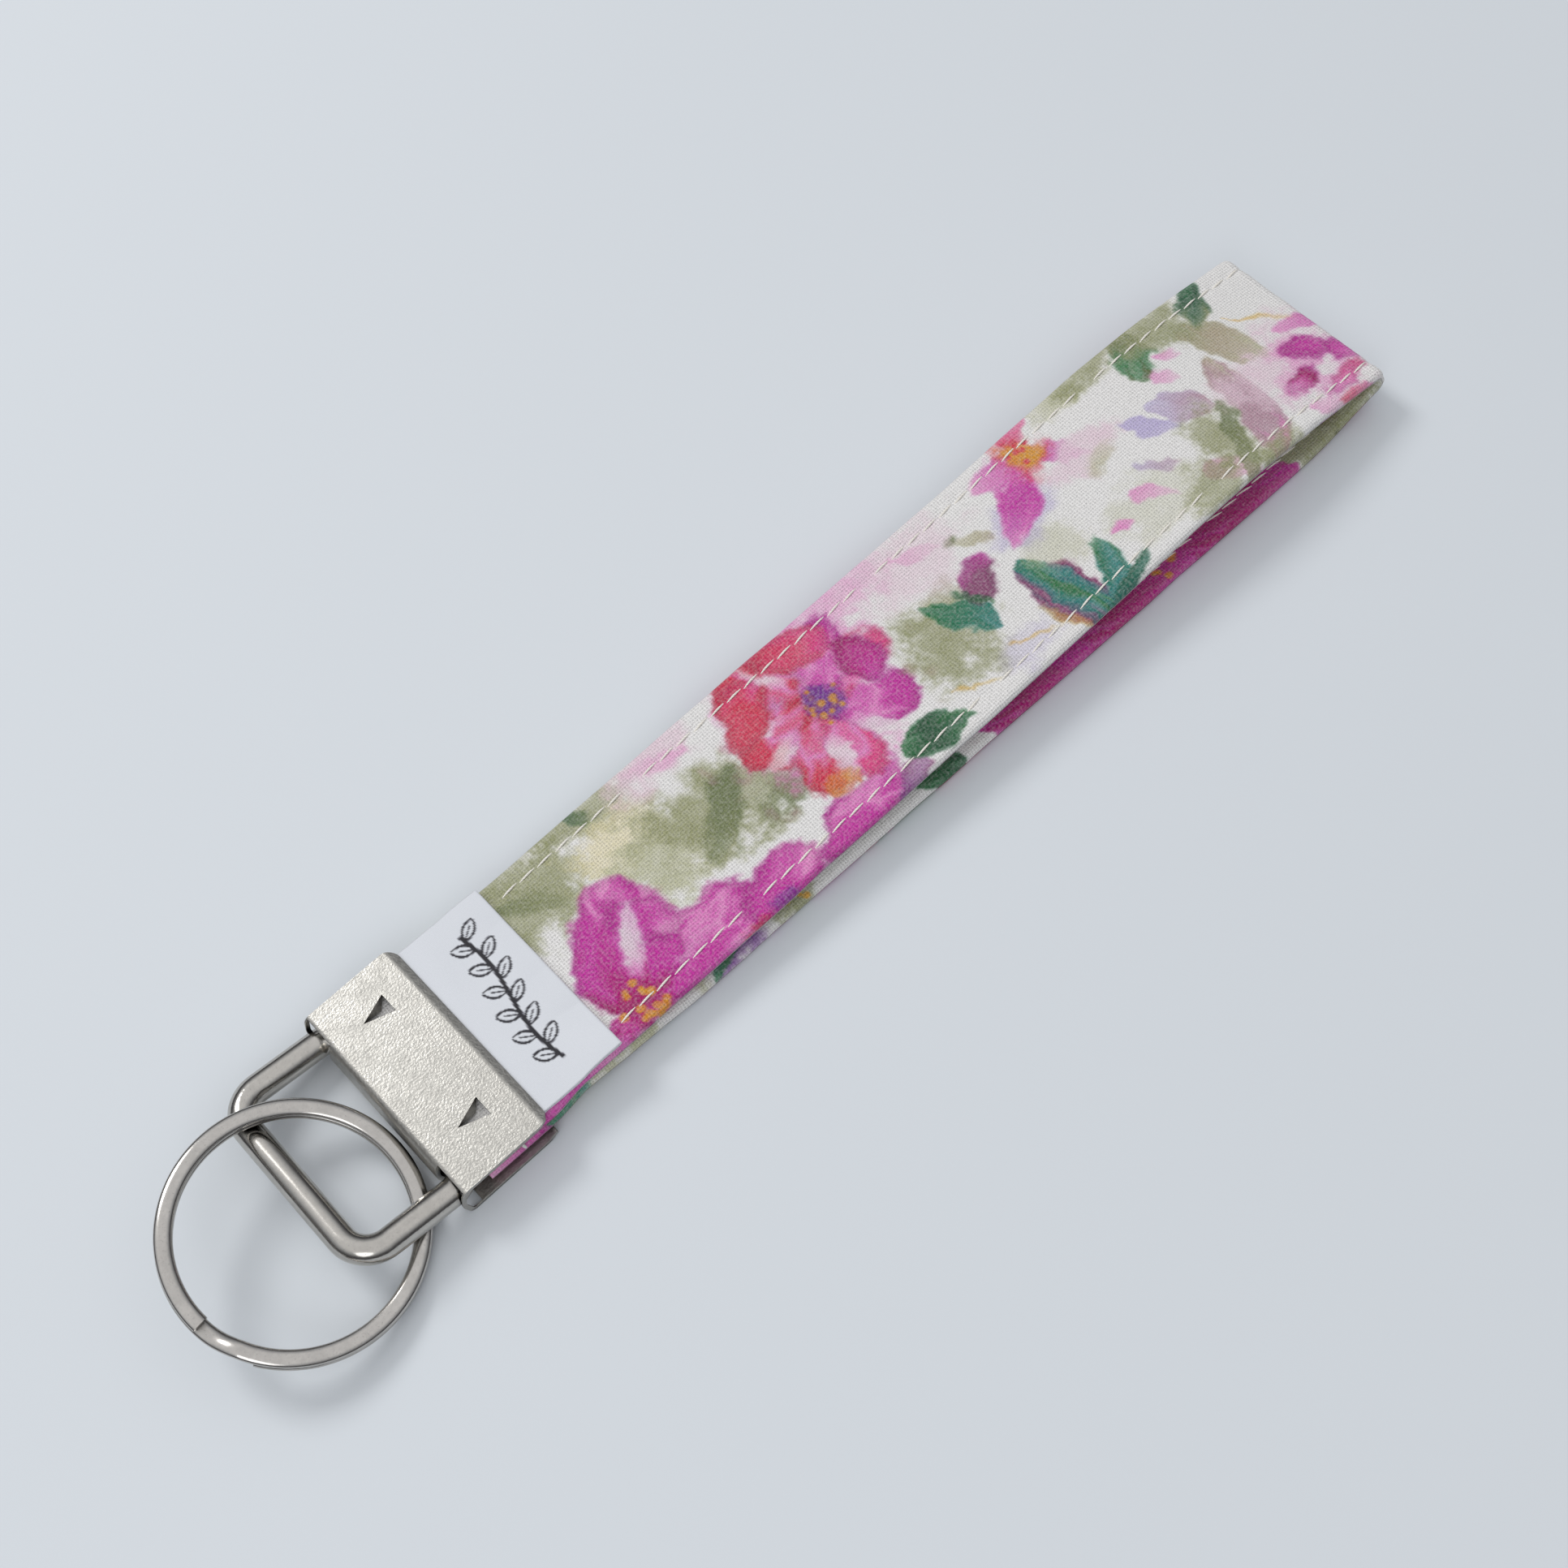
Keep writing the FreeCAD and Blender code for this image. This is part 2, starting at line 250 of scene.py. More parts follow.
        self.dots(centre, radius * 0.28, 0.34, GOLD, 7, seed + 1)

    def finished(self):
        """The paint as linear colour with full alpha."""
        rgba = np.ones((len(self.along), 4))
        rgba[:, :3] = linear(np.clip(self.colour, 0, 1))
        return rgba


def paint_upper_face(cloth):
    """The flowers on the strap's upper face, from the clamp to the fold."""
    face = (cloth.along < FACE_END) & (np.abs(cloth.across) < FACE_HALF_WIDTH)
    cloth.colour[face] = CREAM
    wash, leaf, petal, dots = cloth.wash, cloth.leaf, cloth.petal, cloth.dots
    # olive ground and the big magenta flower beside the label
    wash((19, 7.5), (8, 5.5), OLIVE, 0.85)
    leaf((15, 9), (24, 4), 2.6, [DARK_OLIVE, OLIVE], 0.6, soft=1.2)
    wash((28.5, 10.5), (6, 2.6), OLIVE, 0.75)
    leaf((27, 12.5), (30, 9.5), 1.8, [DARK_GREEN, DARK_OLIVE], 0.7)
    wash((30, 5.5), (6, 3.5), PALE_YELLOW, 0.7)
    wash((33, 1), (7, 5), PALE_OLIVE, 0.85)
    wash((41, 1), (9.5, 5.5), OLIVE, 0.85, -20)
    leaf((44.5, 4), (35, -4.5), 4.6, [DARK_OLIVE, DARK_OLIVE, OLIVE], 0.75, soft=1.6)
    wash((47.5, -3.2), (4.6, 2.6), DARK_OLIVE, 0.65)
    wash((38.5, 10.2), (5.5, 2.8), PALE_PINK, 0.85)
    leaf((42, 8.6), (34, 11.6), 2.2, [PINK, PALE_PINK], 0.6, soft=1.2)
    leaf((21, -10.6), (-8, -12.4), 4.4, [MAGENTA, PINK, MAGENTA, PINK])
    petal((28.8, -8.9), (8.4, 4.4), 4, [MAGENTA, MAGENTA, PINK, MAGENTA])
    petal((22.8, -3.6), (7.6, 6.0), 55, [DEEP_MAGENTA, MAGENTA, MAGENTA, PINK])
    petal((26.0, -2.6), (4.4, 2.6), -50, [MAGENTA, MAGENTA, PINK])
    leaf((18.5, -8), (22.5, 1), 2.4, [DEEP_MAGENTA, MAGENTA], 0.5, soft=1.2)
    leaf((21, -8), (26.4, 1), 3.0, [PINK, CREAM, CREAM], 0.85, soft=1.4)
    leaf((24.5, -8.5), (33, -8.4), 1.4, [PALE_PINK, PINK], 0.6, soft=0.9)
    wash((20.3, -10), (3.4, 2.8), DEEP_MAGENTA, 0.9)
    dots((20.3, -9.6), 2.7, 0.42, GOLD, 17, 21)
    petal((38.6, -10.4), (5.0, 3.5), 10, [MAGENTA, MAGENTA, PINK])
    wash((38.0, -11.4), (2.0, 1.1), PURPLE, 0.65)
    wash((34, -12.6), (2.4, 1.4), CORAL, 0.7)
    petal((49.8, -10.4), (7.0, 2.9), 12, [MAGENTA, MAGENTA, PINK, MAGENTA])
    leaf((53, -13), (60, -10), 3.2, [PURPLE, MAUVE], 0.7)
    # coral blossom
    wash((64, 10), (8, 4.2), PINK, 0.55)
    cloth.blossom((55.5, 2.2), 10.4, [CORAL, ROSE, MAGENTA], 33, petals=8)
    petal((49.3, 7.2), (4.2, 2.8), 40, [CORAL, CORAL, ROSE], 0.85)
    petal((58, 9), (4.6, 2.6), -20, [CORAL, ROSE], 0.8)
    petal((62.2, 2.6), (3.6, 2.2), 100, [MAGENTA, DEEP_MAGENTA], 0.85)
    wash((50.9, -6.2), (1.8, 1.3), GOLD, 0.6)
    wash((55.5, 1.8), (1.9, 1.8), PURPLE, 0.8)
    dots((55.8, 1.8), 2.6, 0.38, GOLD, 10, 35)
    # olive cloud and the dark leaves behind it
    wash((70, -1.5), (6, 5.5), OLIVE, 0.85, 60)
    leaf((57.5, -8.6), (66, -10.2), 4.4, [GREEN, DARK_GREEN, GREEN])
    leaf((75.8, -4.6), (70.5, 2.8), 3.6, [TEAL, GREEN])
    petal((77.4, 0.4), (3.2, 2.2), 50, [MAUVE, MAUVE, MAGENTA], 0.9)
    leaf((76.5, -3), (74, 2.6), 1.3, [GREEN, DARK_GREEN], 0.8)
    leaf((82.5, 2.6), (79, 6.8), 1.4, [TAN, PALE_OLIVE], 0.75)
    wash((79, 6.8), (0.9, 0.7), DARK_OLIVE, 0.9)
    leaf((72.5, 9.2), (78, 6.8), 1.9, [PINK, PALE_PINK], 0.85)
    wash((73, 7.5), (8, 4.5), PALE_PINK, 0.6)
    wash((77, -9), (5, 2), LAVENDER, 0.35)
    # striped leaves at the near edge
    leaf((81.6, -0.6), (85.4, -15.4), 6.2, [MAUVE, MAUVE, TEAL, GREEN, TEAL, MAUVE], 0.98, stripes=0.35)
    leaf((79.5, -5.5), (82.5, -13), 1.4, [TAN, GOLD], 0.7)
    leaf((86, -15), (90.5, -3.8), 3.2, [TEAL, TEAL, GREEN])
    leaf((84.5, -14), (93, -8.8), 2.4, [TEAL, DARK_GREEN])
    leaf((73.5, -7.6), (81, -9.6), 0.7, [GOLD, PALE_YELLOW], 0.7)
    leaf((66.5, -7), (71, -8.8), 0.5, [GOLD, PALE_YELLOW], 0.7)
    wash((86.5, -2.5), (4, 3.4), PALE_OLIVE, 0.45)
    # golden heart with magenta petals at the far edge
    wash((86, 3), (4.4, 3), LAVENDER, 0.55)
    leaf((91.5, 8.5), (84, 9.5), 3.6, [MAGENTA, PINK], 0.75, soft=0.8)
    leaf((91.5, 8), (82.8, 0.4), 4.6, [PINK, MAGENTA, PINK], 0.9, soft=0.9)
    leaf((92.5, 8), (97.5, 2.6), 3.0, [MAGENTA, PALE_PINK], 0.8, soft=0.8)
    leaf((91.5, 9.5), (95.5, 13), 3.0, [CORAL, PINK], 0.85, soft=0.7)
    wash((91.6, 8.4), (3.4, 3.2), CORAL, 0.6)
    wash((91.8, 8.6), (2.5, 2.1), GOLD, 0.95)
    wash((97, 3.4), (5, 2.6), PALE_PINK, 0.8)
    wash((98, -6), (6, 4), PALE_OLIVE, 0.35)
    dots((91.8, 8.6), 2.0, 0.35, CORAL, 7, 41)
    # small spots and pale leaves
    wash((98.5, 10.8), (4, 1.8), PALE_OLIVE, 0.7)
    leaf((91.6, -5.2), (94.6, -6.4), 1.5, [PINK, PINK], 0.85)
    leaf((96.5, -3.4), (99.6, -7.4), 2.0, [PINK, PALE_PINK], 0.85)
    leaf((102.8, -7), (109.6, -12.4), 3.0, [PINK, PALE_PINK], 0.85)
    leaf((108.2, 5.4), (111.6, 2.6), 2.2, [PINK, PALE_PINK], 0.8)
    leaf((111, 6.6), (114, 5.2), 1.6, [PINK, PALE_PINK], 0.8)
    leaf((101.5, 2.8), (106.6, -1.6), 2.2, [LAVENDER, LAVENDER], 0.9)
    leaf((106, 2.2), (111, -2.8), 4.0, [LAVENDER, DUSTY_MAUVE], 0.75)
    leaf((99.6, -1.6), (103.5, -5), 1.4, [LAVENDER, DUSTY_MAUVE], 0.7)
    leaf((115.6, 2.6), (111.8, -14.5), 4.6, [TAN, DUSTY_MAUVE, DUSTY_MAUVE, PINK], 0.9)
    wash((108.5, -6.5), (3.2, 5.2), OLIVE, 0.8, 20)
    leaf((111.5, -2.4), (106.6, -14.5), 2.8, [DARK_OLIVE, OLIVE], 0.85)
    wash((112.5, -12), (3, 2), OLIVE, 0.7)
    wash((103.6, -9.6), (3.4, 4), OLIVE, 0.75)
    wash((97.5, 1.6), (2.2, 1.2), PALE_OLIVE, 0.6)
    leaf((111.6, 12.5), (107.6, 4.4), 4.4, [OLIVE, DARK_OLIVE, GREEN, DARK_OLIVE], 0.9)
    wash((106, 11.2), (5.6, 2.2), OLIVE, 0.8)
    wash((113.5, 9.6), (5.6, 3.2), OLIVE, 0.85)
    wash((118, -3), (6, 4), PALE_PINK, 0.7)
    leaf((122.5, 13), (118, 6.2), 3.4, [GREEN, DARK_GREEN, OLIVE], 0.9)
    leaf((116, 8), (121.6, -2.4), 4.4, [OLIVE, TAN, PALE_OLIVE], 0.85)
    leaf((121, 5.6), (129, -1), 0.9, [GOLD, PALE_YELLOW], 0.7)
    # rose over the fold
    wash((124.5, -5.5), (7, 7), PALE_PINK, 0.9)
    wash((123.5, -6), (5, 5), PINK, 0.5)
    petal((121, -6.6), (2.4, 1.5), 15, [PINK, DEEP_MAGENTA, MAGENTA])
    petal((125.2, -3.8), (3.0, 1.7), -25, [MAGENTA, MAGENTA, PINK])
    petal((128.2, -6.4), (2.2, 1.7), -60, [MAGENTA, PINK])
    petal((125.2, -9.4), (2.8, 1.3), 10, [PINK, ROSE])
    wash((124.3, -6.8), (1.6, 1.2), CREAM, 0.9)
    leaf((122, -11.4), (128, -13.6), 2.4, [CORAL, PINK], 0.7, soft=0.8)
    leaf((118.5, -9.4), (122, -12.6), 1.8, [PINK, PALE_PINK], 0.7)
    leaf((124.4, 0.6), (133, -3), 2.4, [PINK, MAGENTA], 0.7, soft=0.8)


def paint_lower_ply(cloth):
    """What shows of the lower ply. The cloth's own coordinates run on past the fold and round the edge."""
    cloth.wash((141, -10), (9, 6), TAN, 0.8)
    cloth.wash((137, 33), (13, 7), OLIVE, 0.9)
    cloth.leaf((144, 31), (130, 35), 3.6, [DARK_OLIVE, TAN], 0.8)
    for tip, root in ((143, 163), (160, 180), (176, 194)):
        cloth.leaf((root, 31), (tip, 37), 11.0, [MAGENTA, DEEP_MAGENTA, MAGENTA])
        cloth.leaf((root, -12.5), (tip, -11), 6.0, [MAGENTA, DEEP_MAGENTA, PINK])
    cloth.dots((163, 34), 3.0, 0.42, GOLD, 14, 51)
    cloth.leaf((202, 33), (195, 37), 5.0, [GREEN, DARK_GREEN])
    cloth.leaf((206, -12), (197, -10), 4.0, [GREEN, OLIVE])
    cloth.wash((220, 34), (3.0, 3.5), OLIVE, 0.85)
    cloth.dots((219, 34.5), 2.0, 0.4, GOLD, 6, 53)
    cloth.wash((227, 34), (3.6, 3.5), PURPLE, 0.75)
    cloth.leaf((224, 30), (231, 37), 3.0, [TEAL, GREEN])
    cloth.wash((244, 33), (7, 5), PALE_OLIVE, 0.9)
    cloth.wash((250, -10), (10, 6), PALE_OLIVE, 0.8)
    cloth.leaf((253, 36.2), (273, 36.2), 5.0, [MAGENTA, PINK, PALE_PINK, PINK])
    cloth.leaf((250, -12), (276, -12), 5.0, [PALE_PINK, PINK, PALE_OLIVE, PINK])


def scatter(cloth, seed):
    """More of the same flowers on the faces that lie hidden or underneath."""
    random = np.random.RandomState(seed)
    motifs = 170
    kinds = 6
    petal_tones = [CORAL, ROSE, MAGENTA]
    leaf_tones = [[OLIVE, DARK_OLIVE], [TEAL, GREEN], [GREEN, DARK_GREEN], [MAUVE, DUSTY_MAUVE],
                  [LAVENDER, PINK]]
    for k in range(motifs):
        x = random.uniform(-5, 268)
        y = random.uniform(-13, 37)
        turn = random.uniform(0, 2 * math.pi)
        size = random.uniform(0.7, 1.3)
        kind = k % kinds
        if x < FACE_END and y < FACE_HALF_WIDTH:
            continue
        reach = (x + 8 * size * math.cos(turn), y + 8 * size * math.sin(turn))
        if kind == 0:
            cloth.wash((x, y), (7 * size, 4 * size), PALE_OLIVE, 0.8, math.degrees(turn))
        elif kind == 1:
            cloth.wash((x, y), (5 * size, 4 * size), PALE_PINK, 0.8)
        elif kind == 2 and k % (2 * kinds) == 2:
            cloth.blossom((x, y), 8.5 * size, petal_tones, k + seed)
        elif kind == 3:
            cloth.leaf((x, y), reach, 5 * size, [MAGENTA, PINK, MAGENTA], 0.9)
        else:
            cloth.leaf((x, y), reach, 3 * size, leaf_tones[k % len(leaf_tones)], 0.9)


def paint_label(cloth):
    """A leafy sprig drawn in ink along the label."""
    pen = 0.22
    soft = 0.1
    middle = 11.0
    reach = 8.8
    sway = 0.7
    leaf_gap = 1.45
    leaf_span = (2.1, 1.5)
    leaf_half_width = 0.62
    vein_end = 0.7

    def stem_at(across):
        return middle + sway * np.sin(across / 3.1)

    def draw(ink):
        cloth.colour = cloth.colour * (1 - ink[:, None]) + np.array(INK) * ink[:, None]

    off_stem = np.abs(cloth.along - stem_at(cloth.across))
    draw(smooth((pen - off_stem) / soft + 0.5) * smooth((reach - np.abs(cloth.across)) / (2 * soft)))
    for k, y in enumerate(np.arange(-reach + 0.8, reach, leaf_gap)):
        side = 1 if k % 2 else -1
        length = np.hypot(*leaf_span)
        ux, uy = side * leaf_span[0] / length, leaf_span[1] / length
        dx = cloth.along - stem_at(y)
        dy = cloth.across - y
        t = (dx * ux + dy * uy) / length
        q = np.abs(dy * ux - dx * uy)
        half = leaf_half_width * np.sin(math.pi * np.clip(t, 0, 1)) ** 0.8
        outline = smooth((pen * 0.6 - np.abs(q - half)) / soft + 0.5) * ((t > 0) & (t < 1))
        vein = smooth((pen * 0.35 - q) / 0.08 + 0.5) * ((t > 0) & (t < vein_end))
        draw(np.clip(outline + vein, 0, 1))


# ---- meshes ----
def new_object(name, vertices, faces):
    """A mesh object from millimetres, smooth shaded."""
    mesh = bpy.data.meshes.new(name)
    mesh.from_pydata((np.asarray(vertices) * MM).tolist(), [], faces)
    mesh.polygons.foreach_set("use_smooth", [True] * len(mesh.polygons))
    mesh.update()
    piece = bpy.data.objects.new(name, mesh)
    bpy.context.scene.collection.objects.link(piece)
    return piece


def ring_faces(rings, around, first=0):
    """Quads between closed rings of points, and a cap at each end.

    They face out when each ring runs anticlockwise, seen from the end that the rings lead to.
    """
    faces = []
    for i in range(rings - 1):
        row = first + i * around
        for j in range(around):
            k = (j + 1) % around
            faces.append((row + j, row + k, row + around + k, row + around + j))
    faces.append(tuple(first + j for j in reversed(range(around))))
    last = first + (rings - 1) * around
    faces.append(tuple(last + j for j in range(around)))
    return faces


def sharpen_caps(piece, around):
    """Keeps the end caps' edges sharp, so that two lengths shade as one where they meet."""
    mesh = piece.data
    count = len(mesh.vertices)
    ends = np.zeros(count, bool)
    ends[:around] = True
    ends[count - around:] = True
    pairs = np.zeros(len(mesh.edges) * 2, np.int32)
    mesh.edges.foreach_get("vertices", pairs)
    pairs = pairs.reshape(-1, 2)
    rim = ends[pairs[:, 0]] & ends[pairs[:, 1]]
    sharp = mesh.attributes.new("sharp_edge", "BOOLEAN", "EDGE")
    sharp.data.foreach_set("value", rim)
    for cap in mesh.polygons[-2:]:
        cap.use_smooth = False


def add_cloth_data(piece, along, across, rgba):
    """Stores the cloth's coordinates and its painted colour on the mesh, for the material."""
    mesh = piece.data
    cloth = mesh.attributes.new("cloth", "FLOAT_VECTOR", "POINT")
    cloth.data.foreach_set("vector", np.stack([along, across, 0 * along], 1).astype(np.float32).ravel())
    paint = mesh.attributes.new("paint", "FLOAT_COLOR", "POINT")
    paint.data.foreach_set("color", rgba.astype(np.float32).ravel())


class Line:
    """The strap's centre line in its XZ plane, walked from the clamp over the fold and back."""

    BEND_STEPS = 40
    SAMPLES = 8000

    def __init__(self, corners, radii):
        points = [np.array(corners[0], float)]
        for before, corner, after, radius in zip(corners, corners[1:], corners[2:], radii):
            corner = np.array(corner, float)
            back = np.array(before, float) - corner
            ahead = np.array(after, float) - corner
            back /= np.hypot(*back)
            ahead /= np.hypot(*ahead)
            half = math.acos(np.clip(back @ ahead, -1, 1)) / 2
            reach = radius / math.tan(half)
            bisector = (back + ahead) / np.hypot(*(back + ahead))
            centre = corner + bisector * radius / math.sin(half)
            start = corner + back * reach - centre
            sweep = math.pi - 2 * half
            if start[0] * back[1] - start[1] * back[0] > 0:
                sweep = -sweep
            for turn in np.linspace(0, sweep, self.BEND_STEPS):
                c, s = math.cos(turn), math.sin(turn)
                points.append(centre + np.array([c * start[0] - s * start[1], s * start[0] + c * start[1]]))
        points.append(np.array(corners[-1], float))
        points = np.array(points)
        self.length = np.concatenate([[0], np.cumsum(np.hypot(*np.diff(points, axis=0).T))])
        self.points = points

    def at(self, s):
        """Places on the line and the directions that face out of the strap, at distances s."""
        def place(distance):
            return np.stack([np.interp(distance, self.length, self.points[:, k]) for k in (0, 1)], -1)
        reach = 0.3
        tangent = place(np.minimum(s + reach, self.length[-1])) - place(np.maximum(s - reach, 0))
        tangent /= np.hypot(tangent[..., 0], tangent[..., 1])[..., None]
        return place(s), np.stack([-tangent[..., 1], tangent[..., 0]], -1)

    def distance_at(self, x, upper):
        """Distance along the line where it passes x, on the upper or the lower ply."""
        s = np.linspace(0, self.length[-1], self.SAMPLES)
        places, _ = self.at(s)
        turn = np.argmax(places[:, 0])
        if upper:
            return float(np.interp(x, places[:turn, 0], s[:turn]))
        return float(np.interp(-x, -places[turn:, 0], s[turn:]))


LINE = Line(STRAP_CORNERS, STRAP_BENDS)
START_X = STRAP_CORNERS[0][0]


def in_row_frame(x, y, z):
    """Strap coordinates to the row frame, in millimetres."""
    c, s = math.cos(STRAP_YAW), math.sin(STRAP_YAW)
    return np.stack([x * c - y * s, x * s + y * c + STRAP_SHIFT, z], -1)


def side_drift(s):
    """How far a ply strays sideways, and its uneven edge."""
    places, _ = LINE.at(s)
    half_way = LINE.length[-1] / 2
    upper = 0.24 * smooth((places[..., 0] - 60) / 30)
    lower = -0.25 * smooth((s - half_way) / 20) * smooth((places[..., 0] - 8) / 20)
    return np.where(s < half_way, upper, lower)


def cloth_surface(s, v, face):
    """A point on the finished ply. face is +1 outside the strap, -1 inside, and in between on its edges."""
    channel_depth, channel_width = 0.13, 0.5
    pucker_height, pucker_width = 0.035, 1.5
    fine_lumps, broad_lumps = 0.06, 0.10
    gripped, grip_fade = 6.5, 4     # the clamp and its lip hold the cloth flat up to here
    places, out = LINE.at(s)
    across = np.abs(v)
    rounding = np.clip((across - (HALF_WIDTH - HALF_PLY)) / HALF_PLY, 0, 1)
    row = np.abs(across - STITCH_ROW)
    phase = math.pi * s / STITCH_PITCH
    channel = channel_depth * np.exp(-(row / channel_width) ** 2) * (0.75 + 0.25 * np.cos(2 * phase))
    uneven = 0.6 * np.sin(0.31 * s)
    pucker = pucker_height * np.cos(2 * phase + uneven) * np.exp(-(row / pucker_width) ** 2)
    lumps = fine_lumps * (noise(s / 3.2, v / 2.6 + 20 * face, 61) - 0.5) \
        + broad_lumps * (noise(s / 11.0, v / 7.0 + 20 * face, 62) - 0.5)
    flat = HALF_PLY - channel + pucker + lumps * (1 - rounding)
    free = smooth((places[..., 0] - gripped) / grip_fade)
    height = face * (HALF_PLY * (1 - free) + flat * free)
    ruffle = 0.10 * (noise(s / 5.0, np.sign(v) * 3.0 + 5, 63) - 0.5) * rounding * free
    swell = SWELL * smooth(-v / HALF_WIDTH * 4 - 3) * smooth((11 - places[..., 0]) / 5)
    y = v + np.sign(v) * ruffle + side_drift(s) * free - swell
    return in_row_frame(places[..., 0] + height * out[..., 0], y, places[..., 1] + height * out[..., 1])


def section():
    """Round the ply's section: its place across the strap, its face value and the cloth's own coordinate."""
    flat = HALF_WIDTH - HALF_PLY
    steps = int(2 * flat / CELL)
    v = list(np.linspace(-flat, flat, steps + 1))
    face = [1.0] * len(v)
    cloth = list(v)
    turns = [math.pi * (k + 1) / (EDGE_STEPS + 1) for k in range(EDGE_STEPS)]
    for turn in turns:
        v.append(flat + HALF_PLY * math.sin(turn))
        face.append(math.cos(turn))
        cloth.append(flat + HALF_PLY * turn)
    for value in np.linspace(flat, -flat, steps + 1):
        v.append(value)
        face.append(-1.0)
        cloth.append(flat + EDGE_ARC + (flat - value))
    for turn in reversed(turns):
        v.append(-flat - HALF_PLY * math.sin(turn))
        face.append(math.cos(turn))
        if turn < math.pi / 2:
            cloth.append(-flat - HALF_PLY * turn)
        else:
            cloth.append(3 * flat + EDGE_ARC + HALF_PLY * (math.pi - turn))
    return np.array(v[::-1]), np.array(face[::-1]), np.array(cloth[::-1])


def cloth_length(name, s0, s1):
    """One closed length of the strap with its print."""
    v, face, across = section()
    count = max(3, int(abs(s1 - s0) / CELL))
    s = np.linspace(s0, s1, count + 1)
    ss, vv = np.meshgrid(s, v, indexing="ij")
    _, ff = np.meshgrid(s, face, indexing="ij")
    _, cc = np.meshgrid(s, across, indexing="ij")
    points = cloth_surface(ss.ravel(), vv.ravel(), ff.ravel())
    around = len(v)
    piece = new_object(name, points, ring_faces(len(s), around))
    sharpen_caps(piece, around)
    along = ss.ravel() + START_X
    cloth = Print(along, cc.ravel())
    scatter(cloth, 7)
    paint_lower_ply(cloth)
    paint_upper_face(cloth)
    add_cloth_data(piece, along, cc.ravel(), cloth.finished())
    return piece


def stitch_length(name, s0, s1, reach0, reach1):
    """The topstitching of one length, on both faces: slanted threads that dive into the cloth at each end."""
    stitch = 2.15
    radius = 0.125
    end_thinning = 0.28
    flattening = 0.8
    slant = 0.12
    arch, sunk = 0.13, 0.03
    start_spread, slant_spread = 0.05, 0.04
    steps, around = 10, 8
    t = np.linspace(0, 1, steps + 1)
    body = radius * np.clip(np.sin(math.pi * t), end_thinning, 1) ** 0.45
    lift = (arch * np.sin(math.pi * t) - sunk)[:, None]
    turns = np.linspace(0, 2 * math.pi, around, endpoint=False)[:, None]
    sideways = np.array([-math.sin(STRAP_YAW), math.cos(STRAP_YAW), 0])
    rings = []
    faces = []
    random = np.random.RandomState(int(s0 * 10) % 9973)
    first = math.ceil((s0 + reach0) / STITCH_PITCH)
    last = math.floor((s1 - reach1 - stitch) / STITCH_PITCH)
    for k in range(first, last + 1):
        for side in (-1, 1):
            for face in (-1, 1):
                place = k if face > 0 else k + 0.5
                start = place * STITCH_PITCH + random.uniform(-start_spread, start_spread)
                lean = slant + random.uniform(-slant_spread, slant_spread)
                s = start + stitch * t
                v = side * STITCH_ROW + lean * (t - 0.5) * 2
                base = cloth_surface(s, v, np.full_like(s, face))
                out = base - cloth_surface(s, v, np.full_like(s, face * 0.5))
                out /= np.linalg.norm(out, axis=1)[:, None]
                faces += ring_faces(steps + 1, around, around * len(rings))
                for centre, normal, thick in zip(base + out * lift, out, body):
                    rings.append(centre + thick * (flattening * np.sin(turns) * normal
                                                   + np.cos(turns) * sideways))
    return new_object(name, np.concatenate(rings), faces)


def label():
    """A ribbon folded in two, its raw ends under the clamp's lip."""
    start_x, end_x = 4.8, 15.55
    half_layer = 0.09
    half_gap = 0.13
    lift = HALF_PLY + 0.05 + half_layer
    nose = 1.25                 # how far the fold stands out, where a half circle's is 1
    steps, bend_steps, cross_steps = 70, 14, 150
    s = np.linspace(LINE.distance_at(start_x, True), LINE.distance_at(end_x, True), steps)
    places, out = LINE.at(s)
    low = places + out * lift
    high = places + out * (lift + 2 * half_gap)
    middle = (low[-1] + high[-1]) / 2
    tangent = np.array([out[-1][1], -out[-1][0]])
    bend = [middle + half_gap * (math.cos(turn) * out[-1] + nose * math.sin(turn) * tangent)
            for turn in np.linspace(0, math.pi, bend_steps)[1:-1]]
    path = np.concatenate([high, bend, low[::-1]])
    step = np.gradient(path, axis=0)
    step /= np.hypot(step[:, 0], step[:, 1])[:, None]
    normal = np.stack([-step[:, 1], step[:, 0]], 1)
    half = HALF_WIDTH - 0.1
    across = np.linspace(-half, half, cross_steps)
    v = np.concatenate([across, across[::-1]])
    face = np.repeat((-1, 1), cross_steps)
    x = path[:, 0][:, None] + half_layer * face * normal[:, 0][:, None]
    z = path[:, 1][:, None] + half_layer * face * normal[:, 1][:, None]
    free = smooth((x - 8) / 8)
    curl = 0.55 * smooth((-v - 3) / 9) * free + 0.12 * np.sin(v / 2.3) * free ** 2
    wave = 0.22 * (noise(x / 4.5, np.broadcast_to(v / 5.0, x.shape), 71) - 0.3)
    z = z + np.abs(curl) + wave * smooth((x - 6.5) / 2)
    y = v + 0.08 * (noise(x / 1.5, 0 * x + 3, 72) - 0.5)
    piece = new_object("label_ribbon", in_row_frame(x, y, z).reshape(-1, 3), ring_faces(len(path), len(v)))
    sharpen_caps(piece, len(v))
    cloth = Print(x.ravel(), y.ravel(), RIBBON_WHITE)
    plain = cloth.colour
    paint_label(cloth)
    top = np.repeat(np.arange(len(path)) < len(high), len(v)) & np.tile(face > 0, len(path))
    cloth.colour = np.where(top[:, None], cloth.colour, plain)
    add_cloth_data(piece, cloth.along, cloth.across, cloth.finished())
    return piece


